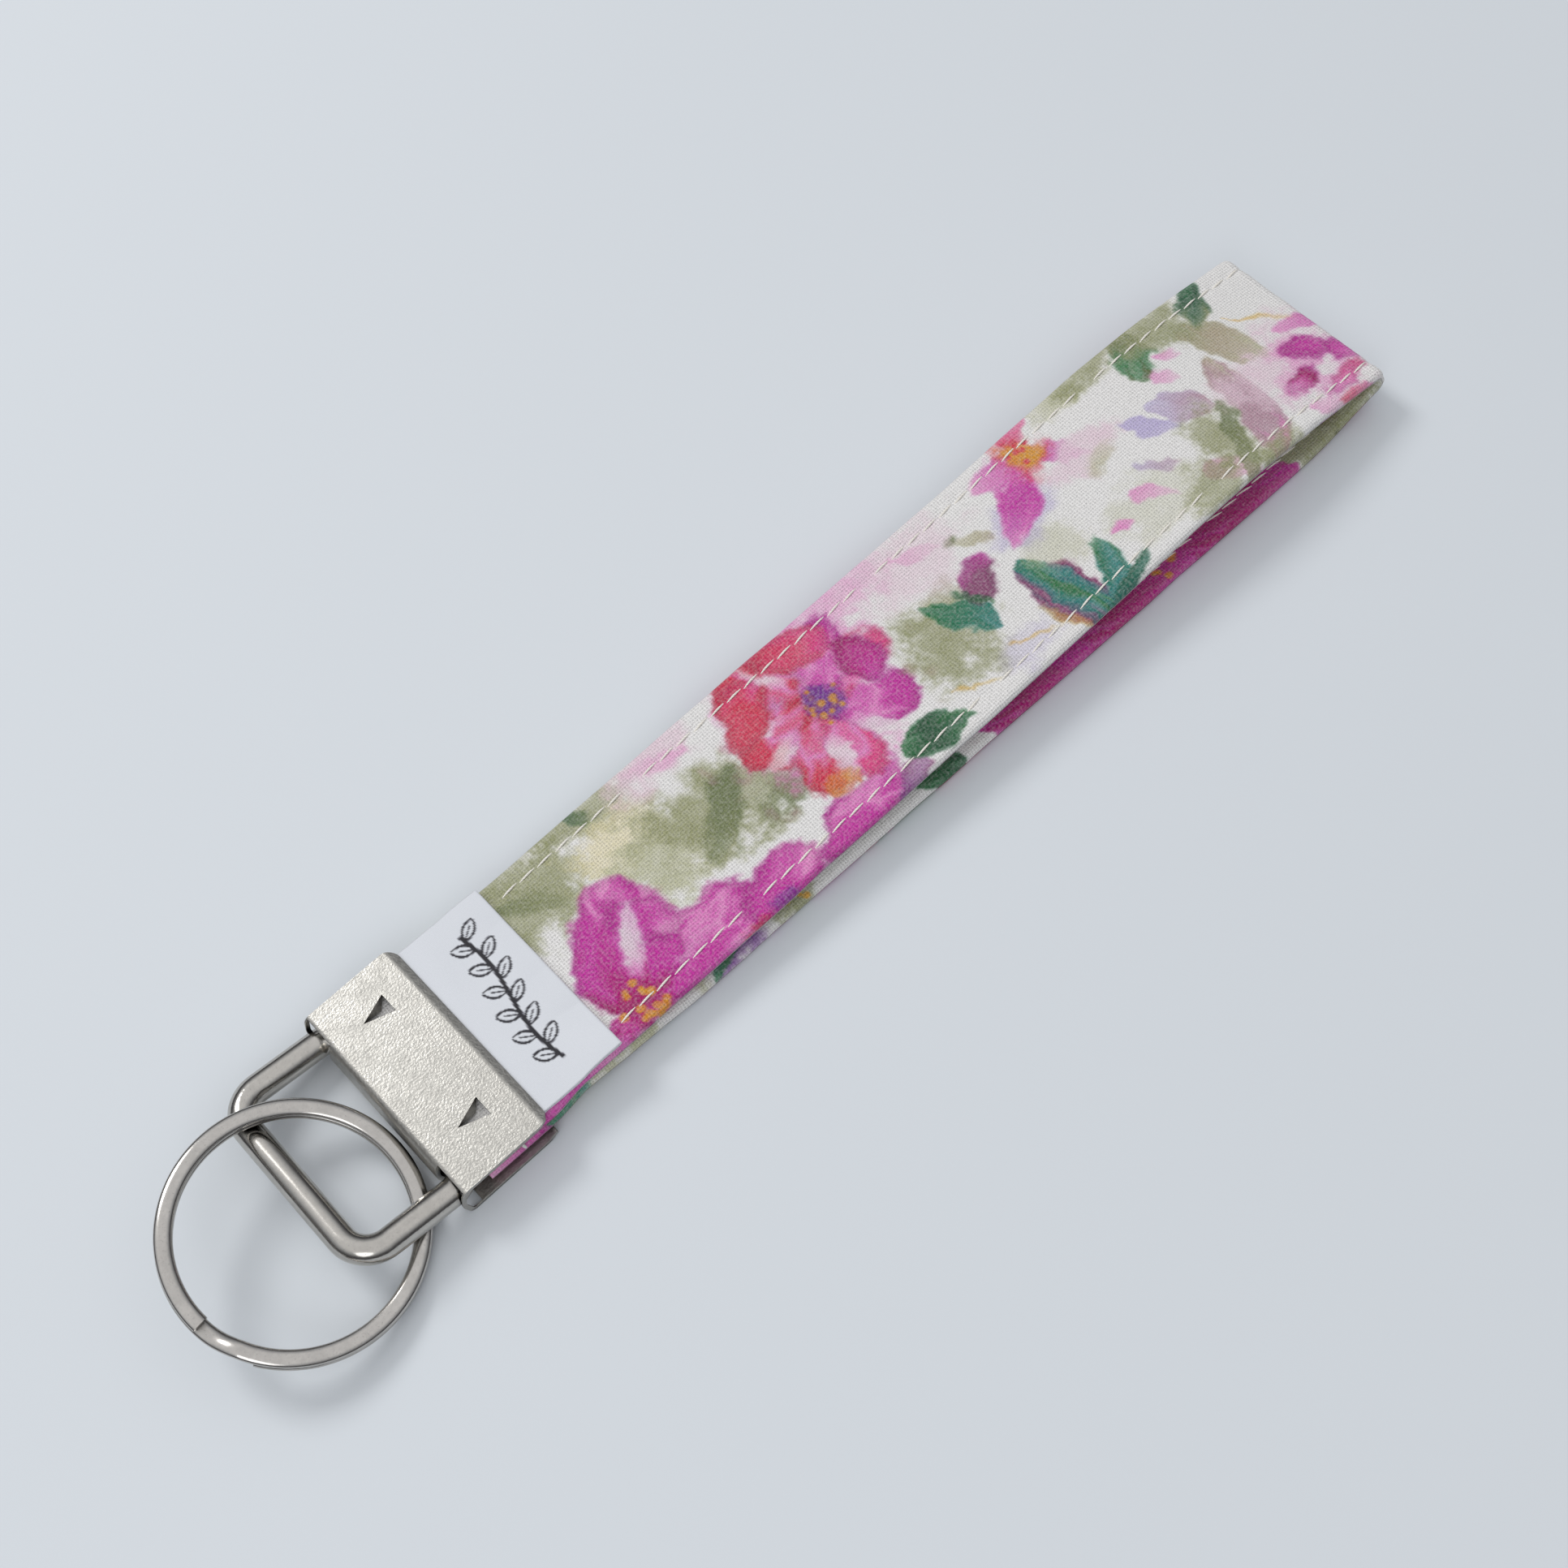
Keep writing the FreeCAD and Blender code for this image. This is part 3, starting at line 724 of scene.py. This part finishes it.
def tube(name, path, radius, around=12):
    """A closed round tube through points."""
    tangent = np.gradient(path, axis=0)
    tangent /= np.linalg.norm(tangent, axis=1)[:, None]
    side = np.cross(tangent, np.array([1.0, 0.2, 0.1]))
    side /= np.linalg.norm(side, axis=1)[:, None]
    up = np.cross(tangent, side)
    turns = np.linspace(0, 2 * math.pi, around, endpoint=False)
    rings = path[:, None, :] + radius * (np.cos(turns)[None, :, None] * side[:, None, :]
                                         + np.sin(turns)[None, :, None] * up[:, None, :])
    return new_object(name, rings.reshape(-1, 3), ring_faces(len(path), around))


def basting_loop():
    """The loop of white thread that holds the two plies together at the clamp's open side."""
    place_x = 2.2
    inset = 0.35
    bulge = 0.8
    proud = 0.12
    top, bottom = STRAP_CORNERS[0][1] + HALF_PLY, STRAP_CORNERS[-1][1] - HALF_PLY
    middle = (top + bottom) / 2
    turn = np.linspace(math.radians(72), math.radians(288), 40)
    x = place_x + proud * np.sin(2 * turn)
    y = inset - HALF_WIDTH + bulge * np.cos(turn)
    z = middle + (top - middle + proud) * np.sin(turn)
    return tube("basting_loop", in_row_frame(x, y, z), 0.17)


def split_ring():
    """The ring's wire, with an oval section, from the end of its upper coil to the end of its lower one."""
    steps, around = 640, 28
    degrees = np.linspace(0, UPPER_TURN + LOWER_TURN, steps)
    height = (0.5 - smooth((degrees - UPPER_TURN + JOGGLE) / JOGGLE)) * COIL_PITCH
    angle = np.radians(RING_TOP_END - degrees)
    turns = np.linspace(0, 2 * math.pi, around, endpoint=False)
    reach = RING_RADIUS + RING_BAND / 2 * np.cos(turns)
    lift = height[:, None] + COIL / 2 * np.sin(turns)
    flat = np.stack([reach * np.cos(angle)[:, None], reach * np.sin(angle)[:, None], lift], -1).reshape(-1, 3)
    tilt = Vector((0, 0, 1)).rotation_difference(Vector(RING_NORMAL)).to_matrix()
    points = flat @ np.array(tilt).T + np.array(RING_CENTRE)
    piece = new_object("ring_wire", points, ring_faces(steps, around))
    sharpen_caps(piece, around)
    return piece


# ---- materials ----
class Shader:
    """A node material round a Principled BSDF."""

    def __init__(self, name):
        self.material = bpy.data.materials.new(name)
        self.material.use_nodes = True
        self.tree = self.material.node_tree
        self.surface = self.tree.nodes["Principled BSDF"]

    def feed(self, socket, value):
        """Links a socket to another node's output, or sets its value."""
        if isinstance(value, bpy.types.NodeSocket):
            self.tree.links.new(value, socket)
        else:
            socket.default_value = value

    def node(self, kind, inputs=None, **settings):
        node = self.tree.nodes.new(kind)
        for key, value in settings.items():
            setattr(node, key, value)
        for key, value in (inputs or {}).items():
            self.feed(node.inputs[key], value)
        return node

    def attribute(self, name, output):
        return self.node("ShaderNodeAttribute", attribute_name=name).outputs[output]

    def grey(self, value):
        return self.node("ShaderNodeCombineColor", {0: value, 1: value, 2: value}).outputs[0]

    def math(self, operation, a, b=0.0):
        return self.node("ShaderNodeMath", {0: a, 1: b}, operation=operation).outputs[0]

    def ramp(self, value, low, high, out_low=0.0, out_high=1.0):
        node = self.node("ShaderNodeMapRange", {"Value": value, "From Min": low, "From Max": high,
                                                "To Min": out_low, "To Max": out_high})
        return node.outputs["Result"]

    def noise(self, vector, scale, detail=2.0):
        node = self.node("ShaderNodeTexNoise", {"Vector": vector, "Scale": scale, "Detail": detail})
        return node.outputs["Fac"]

    def mix(self, factor, a, b, blend="MIX"):
        """Mixes two colours, each a socket or three linear values."""
        node = self.node("ShaderNodeMix", {0: factor}, data_type="RGBA", blend_type=blend)
        for socket, value in ((node.inputs[6], a), (node.inputs[7], b)):
            self.feed(socket, value if isinstance(value, bpy.types.NodeSocket) else (*value, 1.0))
        return node.outputs[2]

    def bump(self, height, strength, distance, normal=None):
        inputs = {"Height": height, "Strength": strength, "Distance": distance}
        if normal:
            inputs["Normal"] = normal
        return self.node("ShaderNodeBump", inputs).outputs["Normal"]

    def place(self):
        return self.node("ShaderNodeTexCoord").outputs["Object"]

    def finish(self, **inputs):
        for key, value in inputs.items():
            self.feed(self.surface.inputs[key.replace("_", " ")], value)
        return self.material


def weave(shader, coordinates, pitch):
    """Height of a plain weave: threads that pass over and under each other."""
    parts = shader.node("ShaderNodeSeparateXYZ", {0: coordinates})
    a = shader.math("SINE", shader.math("MULTIPLY", parts.outputs[0], math.pi / pitch))
    b = shader.math("SINE", shader.math("MULTIPLY", parts.outputs[1], math.pi / pitch))
    over = shader.math("MULTIPLY", shader.math("MULTIPLY", a, b), 0.3)
    warp = shader.math("MULTIPLY", shader.math("ABSOLUTE", a), shader.math("ADD", over, 0.7))
    weft = shader.math("MULTIPLY", shader.math("ABSOLUTE", b), shader.math("SUBTRACT", 0.7, over))
    return shader.math("MAXIMUM", warp, weft)


def printed_cotton():
    """Plain weave whose threads wander a little. The print is a little dry and pale in patches."""
    thread_pitch = 0.34
    shader = Shader("printed_cotton")
    paint = shader.attribute("paint", "Color")
    cloth = shader.attribute("cloth", "Vector")
    uneven = shader.node("ShaderNodeTexNoise", {"Vector": cloth, "Scale": 0.9, "Detail": 3.0})
    drawn = shader.node("ShaderNodeVectorMath", {0: uneven.outputs["Color"], 1: (0.25, 0.25, 0.25)},
                        operation="MULTIPLY")
    threads = shader.node("ShaderNodeVectorMath", {0: cloth, 1: drawn.outputs[0]}, operation="ADD")
    height = weave(shader, threads.outputs[0], thread_pitch)
    slub = shader.noise(cloth, 4.5, 4.0)
    fuzz = shader.noise(cloth, 11.0, 3.0)
    shade = shader.ramp(height, 0.1, 0.95, 0.74, 1.06)
    value = shader.math("MULTIPLY", shade, shader.ramp(slub, 0.3, 0.7, 0.84, 1.12))
    grain = shader.math("MULTIPLY", value, shader.ramp(fuzz, 0.3, 0.7, 0.95, 1.04))
    tint = shader.grey(grain)
    dry = shader.noise(cloth, 2.8, 4.0)
    worn = shader.mix(shader.ramp(dry, 0.40, 0.78, 0.0, 0.24), paint, linear(CREAM))
    colour = shader.mix(1.0, worn, tint, "MULTIPLY")
    relief = shader.math("ADD", height, shader.math("MULTIPLY", fuzz, 0.5))
    normal = shader.bump(relief, 0.75, 0.12 * MM)
    wavy = shader.bump(slub, 0.25, 0.3 * MM, normal)
    return shader.finish(Base_Color=colour, Roughness=shader.ramp(fuzz, 0.3, 0.7, 0.78, 0.92), Normal=wavy,
                         Sheen_Weight=0.18, Sheen_Roughness=0.5, Specular_IOR_Level=0.22)


def white_ribbon():
    """Finely woven ribbon with a slight sheen."""
    thread_pitch = 0.13
    shader = Shader("white_ribbon")
    paint = shader.attribute("paint", "Color")
    cloth = shader.attribute("cloth", "Vector")
    height = weave(shader, cloth, thread_pitch)
    fibre = shader.noise(cloth, 7.0, 3.0)
    shade = shader.math("MULTIPLY", shader.ramp(height, 0.1, 0.95, 0.93, 1.0),
                        shader.ramp(fibre, 0.3, 0.7, 0.96, 1.02))
    tint = shader.grey(shade)
    colour = shader.mix(1.0, paint, tint, "MULTIPLY")
    normal = shader.bump(shader.math("ADD", height, fibre), 0.3, 0.04 * MM)
    return shader.finish(Base_Color=colour, Roughness=shader.ramp(fibre, 0.3, 0.7, 0.42, 0.58), Normal=normal,
                         Sheen_Weight=0.25, Specular_IOR_Level=0.35)


def sewing_thread(name, colour):
    """Spun thread with a fine twist."""
    shader = Shader(name)
    place = shader.place()
    wave = shader.node("ShaderNodeTexWave", {"Vector": place, "Scale": 1500.0, "Distortion": 1.5},
                       bands_direction="DIAGONAL")
    fibre = shader.noise(place, 9000.0, 3.0)
    twist = shader.ramp(wave.outputs["Fac"], 0.0, 1.0, 0.85, 1.05)
    value = shader.math("MULTIPLY", twist, shader.ramp(fibre, 0.3, 0.7, 0.92, 1.04))
    tint = shader.grey(value)
    base = shader.mix(1.0, linear(colour), tint, "MULTIPLY")
    normal = shader.bump(wave.outputs["Fac"], 0.5, 0.04 * MM)
    return shader.finish(Base_Color=base, Roughness=shader.ramp(fibre, 0.3, 0.7, 0.5, 0.7), Normal=normal,
                         Sheen_Weight=0.3)


def nickel(name, tone, rough, grain_size, grain_depth, marks=0.0, spots=0.15):
    """Nickel plate: its grain, its dull and bright patches, and painted shade in its corners."""
    patches, hollows, mottles, specks = 420.0, 1300.0, 1900.0, 5200.0   # how many to the metre
    shader = Shader(name)
    place = shader.place()
    grain = shader.noise(place, 1 / (grain_size * MM), 3.0)
    patch = shader.noise(place, patches, 3.0)
    speck = shader.noise(place, specks, 2.0)
    # painted shade: ambient occlusion finds where the metal's corners and hollows close in
    corner = shader.node("ShaderNodeAmbientOcclusion", {"Distance": 0.9 * MM}, samples=8).outputs["AO"]
    clean = shader.mix(shader.ramp(patch, 0.35, 0.65), linear(tone), linear([c * 0.96 for c in tone]))
    mottle = shader.noise(place, mottles, 3.0)
    mottled = shader.mix(shader.ramp(mottle, 0.35, 0.65, 0.0, spots), clean, linear([c * 0.78 for c in tone]))
    pitted = shader.mix(shader.ramp(speck, 0.62, 0.75, 0.0, 0.35), mottled, linear([c * 0.62 for c in tone]))
    # painted shade: the colour goes dark grey in those corners and hollows
    colour = shader.mix(shader.ramp(corner, 0.35, 0.95), linear((0.20, 0.19, 0.18)), pitted)
    roughness = shader.math("ADD", shader.ramp(patch, 0.3, 0.7, rough * 0.85, rough * 1.2),
                            shader.ramp(speck, 0.55, 0.8, 0.0, 0.12))
    normal = shader.bump(grain, 0.6, grain_depth * MM)
    if marks:
        stretched = shader.node("ShaderNodeMapping", {"Vector": place, "Scale": (1.0, 0.12, 1.0)}).outputs[0]
        dents = shader.noise(stretched, hollows, 2.0)
        normal = shader.bump(dents, marks, 0.05 * MM, normal)
    return shader.finish(Base_Color=colour, Metallic=1.0, Roughness=roughness, Normal=normal)


def dress_metal(node, material, bevel):
    """Rounds a CAD metal part's edges and gives it its finish."""
    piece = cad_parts[node]
    custom = piece.data.attributes.get("custom_normal")
    if custom:
        piece.data.attributes.remove(custom)
    piece.data.polygons.foreach_set("use_smooth", [True] * len(piece.data.polygons))
    piece.data.materials.clear()
    piece.data.materials.append(material)
    weld = piece.modifiers.new("weld", "WELD")
    weld.merge_threshold = 0.002 * MM
    edge = piece.modifiers.new("edge", "BEVEL")
    edge.width = bevel * MM
    edge.segments = 2
    edge.limit_method = "ANGLE"
    edge.angle_limit = math.radians(40)
    normals = piece.modifiers.new("normals", "WEIGHTED_NORMAL")
    normals.weight = 60


# ---- the keychain ----
cotton = printed_cotton()
cream_thread = sewing_thread("cream_thread", (0.97, 0.95, 0.91))
white_thread = sewing_thread("white_thread", (0.93, 0.92, 0.90))

# X where the strap is cut into lengths, and where its fold ends on the lower ply
MOUTH_X, NEAR_X, MIDDLE_X, FAR_X, FOLD_X = 10.6, 35, 69, 103, 121
LABEL_GAP = 6.6             # the topstitching starts this far beyond the mouth, clear of the label
TONGUE = 0.8                # how far the lower ply's last length reaches into the fold, so that no gap opens
TONGUE_GAP = 0.4            # no stitch crosses the place where the two part

# Each length: its ply and name, X at both ends, its bodies, its joint, and the stems of its CAD nodes
LENGTHS = [
    ("upper", "mouth", START_X, MOUTH_X, ("clamp", "strap_base"), "strap_bend", ["upper_end", "upper_base"]),
    ("upper", "near", MOUTH_X, NEAR_X, ("strap_base", "upper_near"), "loop_open", ["upper_near"]),
    ("upper", "middle", NEAR_X, MIDDLE_X, ("upper_near", "upper_middle"), "upper_crest", ["upper_middle"]),
    ("upper", "far", MIDDLE_X, FAR_X, ("upper_middle", "upper_far"), "upper_fall", ["upper_far"]),
    ("lower", "mouth", START_X, MOUTH_X, ("clamp", "strap_base"), "strap_bend", ["lower_end", "lower_base"]),
    ("lower", "near", MOUTH_X, NEAR_X, ("strap_base", "lower_near"), "lower_dip", ["lower_near"]),
    ("lower", "middle", NEAR_X, MIDDLE_X, ("lower_near", "lower_middle"), "lower_level", ["lower_middle"]),
    ("lower", "far", MIDDLE_X, FAR_X, ("lower_middle", "lower_far"), "lower_rise", []),
]


def dress(piece, material, nodes):
    """Gives a piece its material, and hides the CAD nodes it stands for, if any."""
    piece.data.materials.append(material)
    if nodes:
        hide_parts(*nodes)


def add_fabric(name, s0, s1, stems):
    piece = cloth_length(name, s0, s1)
    dress(piece, cotton, [f"{stem}_{kind}" for stem in stems for kind in ("cover", "core")])
    return piece


def add_stitches(name, s0, s1, gaps, stems):
    piece = stitch_length(name, s0, s1, *gaps)
    dress(piece, cream_thread, [f"{stem}_stitches" for stem in stems])
    return piece


def bend_over(piece):
    """Bakes a piece's transform into its mesh."""
    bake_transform(piece)


for ply, part, x0, x1, bodies, joint, stems in LENGTHS:
    s0, s1 = sorted(LINE.distance_at(x, ply == "upper") for x in (x0, x1))
    bend_over(add_fabric(f"cotton_{ply}_{part}", s0, s1, stems))
    if part != "mouth":
        near_gap = LABEL_GAP if part == "near" else 0.0
        gaps = (near_gap, 0.0) if ply == "upper" else (0.0, near_gap)
        bend_over(add_stitches(f"topstitch_{ply}_{part}", s0, s1, gaps, stems))

lower_start = LINE.distance_at(FAR_X, False)
fold_end = LINE.distance_at(FOLD_X, False)
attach(add_fabric("cotton_lower_end", fold_end - TONGUE, lower_start, ["lower_far"]), "lower_far")
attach(add_stitches("topstitch_lower_end", fold_end, lower_start, (TONGUE_GAP, 0.0), ["lower_far"]),
        "lower_far")

# The fold runs on from the upper ply, over the strap's end and back to the lower ply's last length
fold_start = LINE.distance_at(FAR_X, True)
for piece in (
        add_fabric("cotton_fold", fold_start, fold_end, ["fold"]),
        add_stitches("topstitch_fold", fold_start, fold_end, (0.0, TONGUE_GAP), ["upper_far", "fold"])):
    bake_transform(piece)

ribbon = label()
dress(ribbon, white_ribbon(), ["label"])
bend_over(ribbon)

loop = basting_loop()
dress(loop, white_thread, ["basting_thread"])
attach(loop, "clamp")

satin = nickel("satin_nickel", (0.74, 0.73, 0.705), 0.36, grain_size=0.25, grain_depth=0.07, spots=0.45)
polished = nickel("polished_nickel", (0.76, 0.745, 0.72), 0.17, grain_size=0.5, grain_depth=0.004, marks=0.30)
ring_metal = nickel("ring_nickel", (0.77, 0.755, 0.735), 0.17, grain_size=0.4, grain_depth=0.003, marks=0.12)
dress_metal("clamp_shell", satin, bevel=0.2)
dress_metal("bail", polished, bevel=0.05)
ring = split_ring()
dress(ring, ring_metal, ["split_ring"])
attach(ring, "key_ring")


# ---- floor, light and camera ----
def floor():
    shader = Shader("table")
    place = shader.place()
    patch = shader.noise(place, 9.0, 2.0)
    tooth = shader.noise(place, 2500.0, 3.0)
    colour = shader.mix(patch, linear((0.850, 0.868, 0.884)), linear((0.842, 0.861, 0.878)))
    material = shader.finish(Base_Color=colour, Roughness=0.75, Normal=shader.bump(tooth, 0.06, 0.05 * MM))
    reach = 900
    height = -0.02              # just under the strap, so that the two never share a plane
    corners = [(x * reach, y * reach, height) for x, y in ((-1, -1), (1, -1), (1, 1), (-1, 1))]
    table = new_object("table", corners, [(0, 1, 2, 3)])
    table.data.materials.append(material)


def area_light(name, place, target, size, power, colour=(1.0, 1.0, 1.0)):
    data = bpy.data.lights.new(name, "AREA")
    data.shape = "DISK"
    data.size = size * MM
    data.energy = power
    data.color = colour
    lamp = bpy.data.objects.new(name, data)
    bpy.context.scene.collection.objects.link(lamp)
    lamp.location = Vector(place) * MM
    lamp.rotation_euler = (Vector(target) * MM - lamp.location).to_track_quat("-Z", "Y").to_euler()


def sky():
    """A pale room that is dimmer towards the horizon, so that bright metal has something dark to reflect."""
    world = bpy.data.worlds.new("room")
    bpy.context.scene.world = world
    world.use_nodes = True
    nodes, links = world.node_tree.nodes, world.node_tree.links
    place = nodes.new("ShaderNodeTexCoord")
    parts = nodes.new("ShaderNodeSeparateXYZ")
    ramp = nodes.new("ShaderNodeValToRGB")
    links.new(place.outputs["Generated"], parts.inputs[0])
    links.new(parts.outputs[2], ramp.inputs[0])
    links.new(ramp.outputs[0], nodes["Background"].inputs[0])
    stops = [(0.0, (0.05, 0.05, 0.055)), (0.3, (0.12, 0.12, 0.13)),
             (0.6, (0.60, 0.62, 0.65)), (0.8, (0.97, 0.98, 1.0))]
    while len(ramp.color_ramp.elements) < len(stops):
        ramp.color_ramp.elements.new(0.5)
    for element, (position, colour) in zip(ramp.color_ramp.elements, stops):
        element.position = position
        element.color = (*colour, 1.0)
    nodes["Background"].inputs[1].default_value = 0.90


def camera():
    data = bpy.data.cameras.new("camera")
    data.lens = 50.66
    data.sensor_width = 36
    data.clip_start = MM
    eye = Vector((-11.573, -89.277, 208.574)) * MM
    look = Vector((0.25345, 0.38012, -0.88954))
    up = Vector((0.63622, 0.62719, 0.44928))
    right = look.cross(up)
    view = bpy.data.objects.new("camera", data)
    view.matrix_world = Matrix((
        (right.x, up.x, -look.x, eye.x),
        (right.y, up.y, -look.y, eye.y),
        (right.z, up.z, -look.z, eye.z),
        (0, 0, 0, 1)))
    bpy.context.scene.collection.objects.link(view)
    bpy.context.scene.camera = view


floor()
sky()
area_light("window", (-80, 600, 640), (50, 0, 0), 330, 2.6)
area_light("fill", (-300, -260, 330), (0, 0, 0), 260, 0.35, (0.95, 0.97, 1.0))
camera()
bpy.context.scene.view_settings.view_transform = "Standard"
